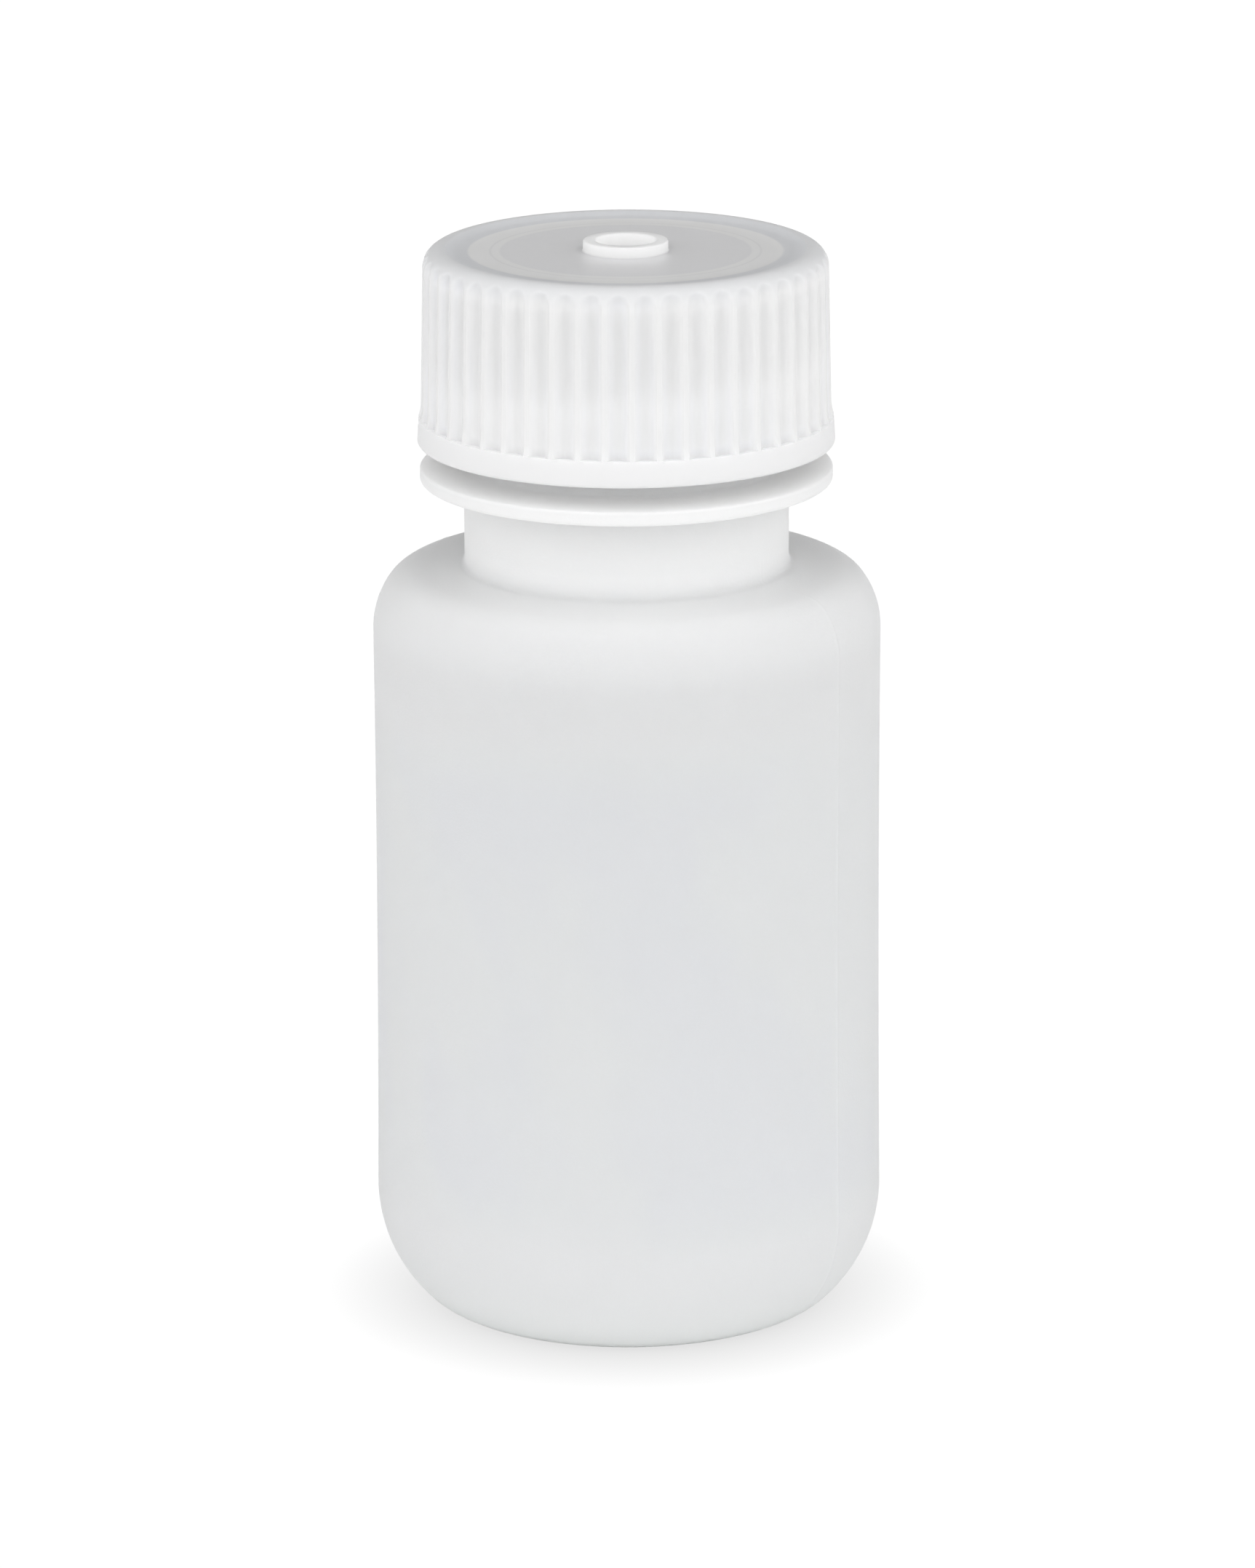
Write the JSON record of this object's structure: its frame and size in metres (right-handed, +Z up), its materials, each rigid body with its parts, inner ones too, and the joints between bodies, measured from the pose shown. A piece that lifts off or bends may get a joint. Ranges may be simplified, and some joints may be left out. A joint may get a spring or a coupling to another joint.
{
  "type": "reagent bottle",
  "caption": "Small wide-mouth plastic reagent bottle: hollow round body with a neck collar and a thread, and a ribbed screw cap that lifts a soft seal ring as it unscrews.",
  "frame": {"origin": "middle of the base, on the surface that the bottle stands on", "axes": "+Z up along the bottle's axis; the neck thread and the cap thread start on the +X side"},
  "size_m": [0.0396, 0.0396, 0.0843],
  "materials": {
    "natural_bottle": "translucent natural polyethylene, fine frosted satin",
    "natural_cap": "translucent natural polypropylene, satin",
    "natural_seal": "soft milky polyethylene, smooth"
  },
  "bodies": {
    "bottle": {"bottle": "natural_bottle"},
    "seal": {"seal_ring": "natural_seal"},
    "cap": {"cap": "natural_cap"}
  },
  "joints": [
    {"name": "cap_lift", "type": "slide", "parent": "bottle", "child": "seal", "axis": [0, 0, 1], "range_m": [0, 0.0064]},
    {"name": "cap_turn", "type": "hinge", "parent": "seal", "child": "cap", "pos_m": [0, 0, 0.0823], "axis": [0, 0, 1], "range_deg": [0, 540]}
  ],
  "couplings": [
    {"joint": "cap_lift", "follows": "cap_turn", "m_per_rad": 0.00066845}
  ]
}
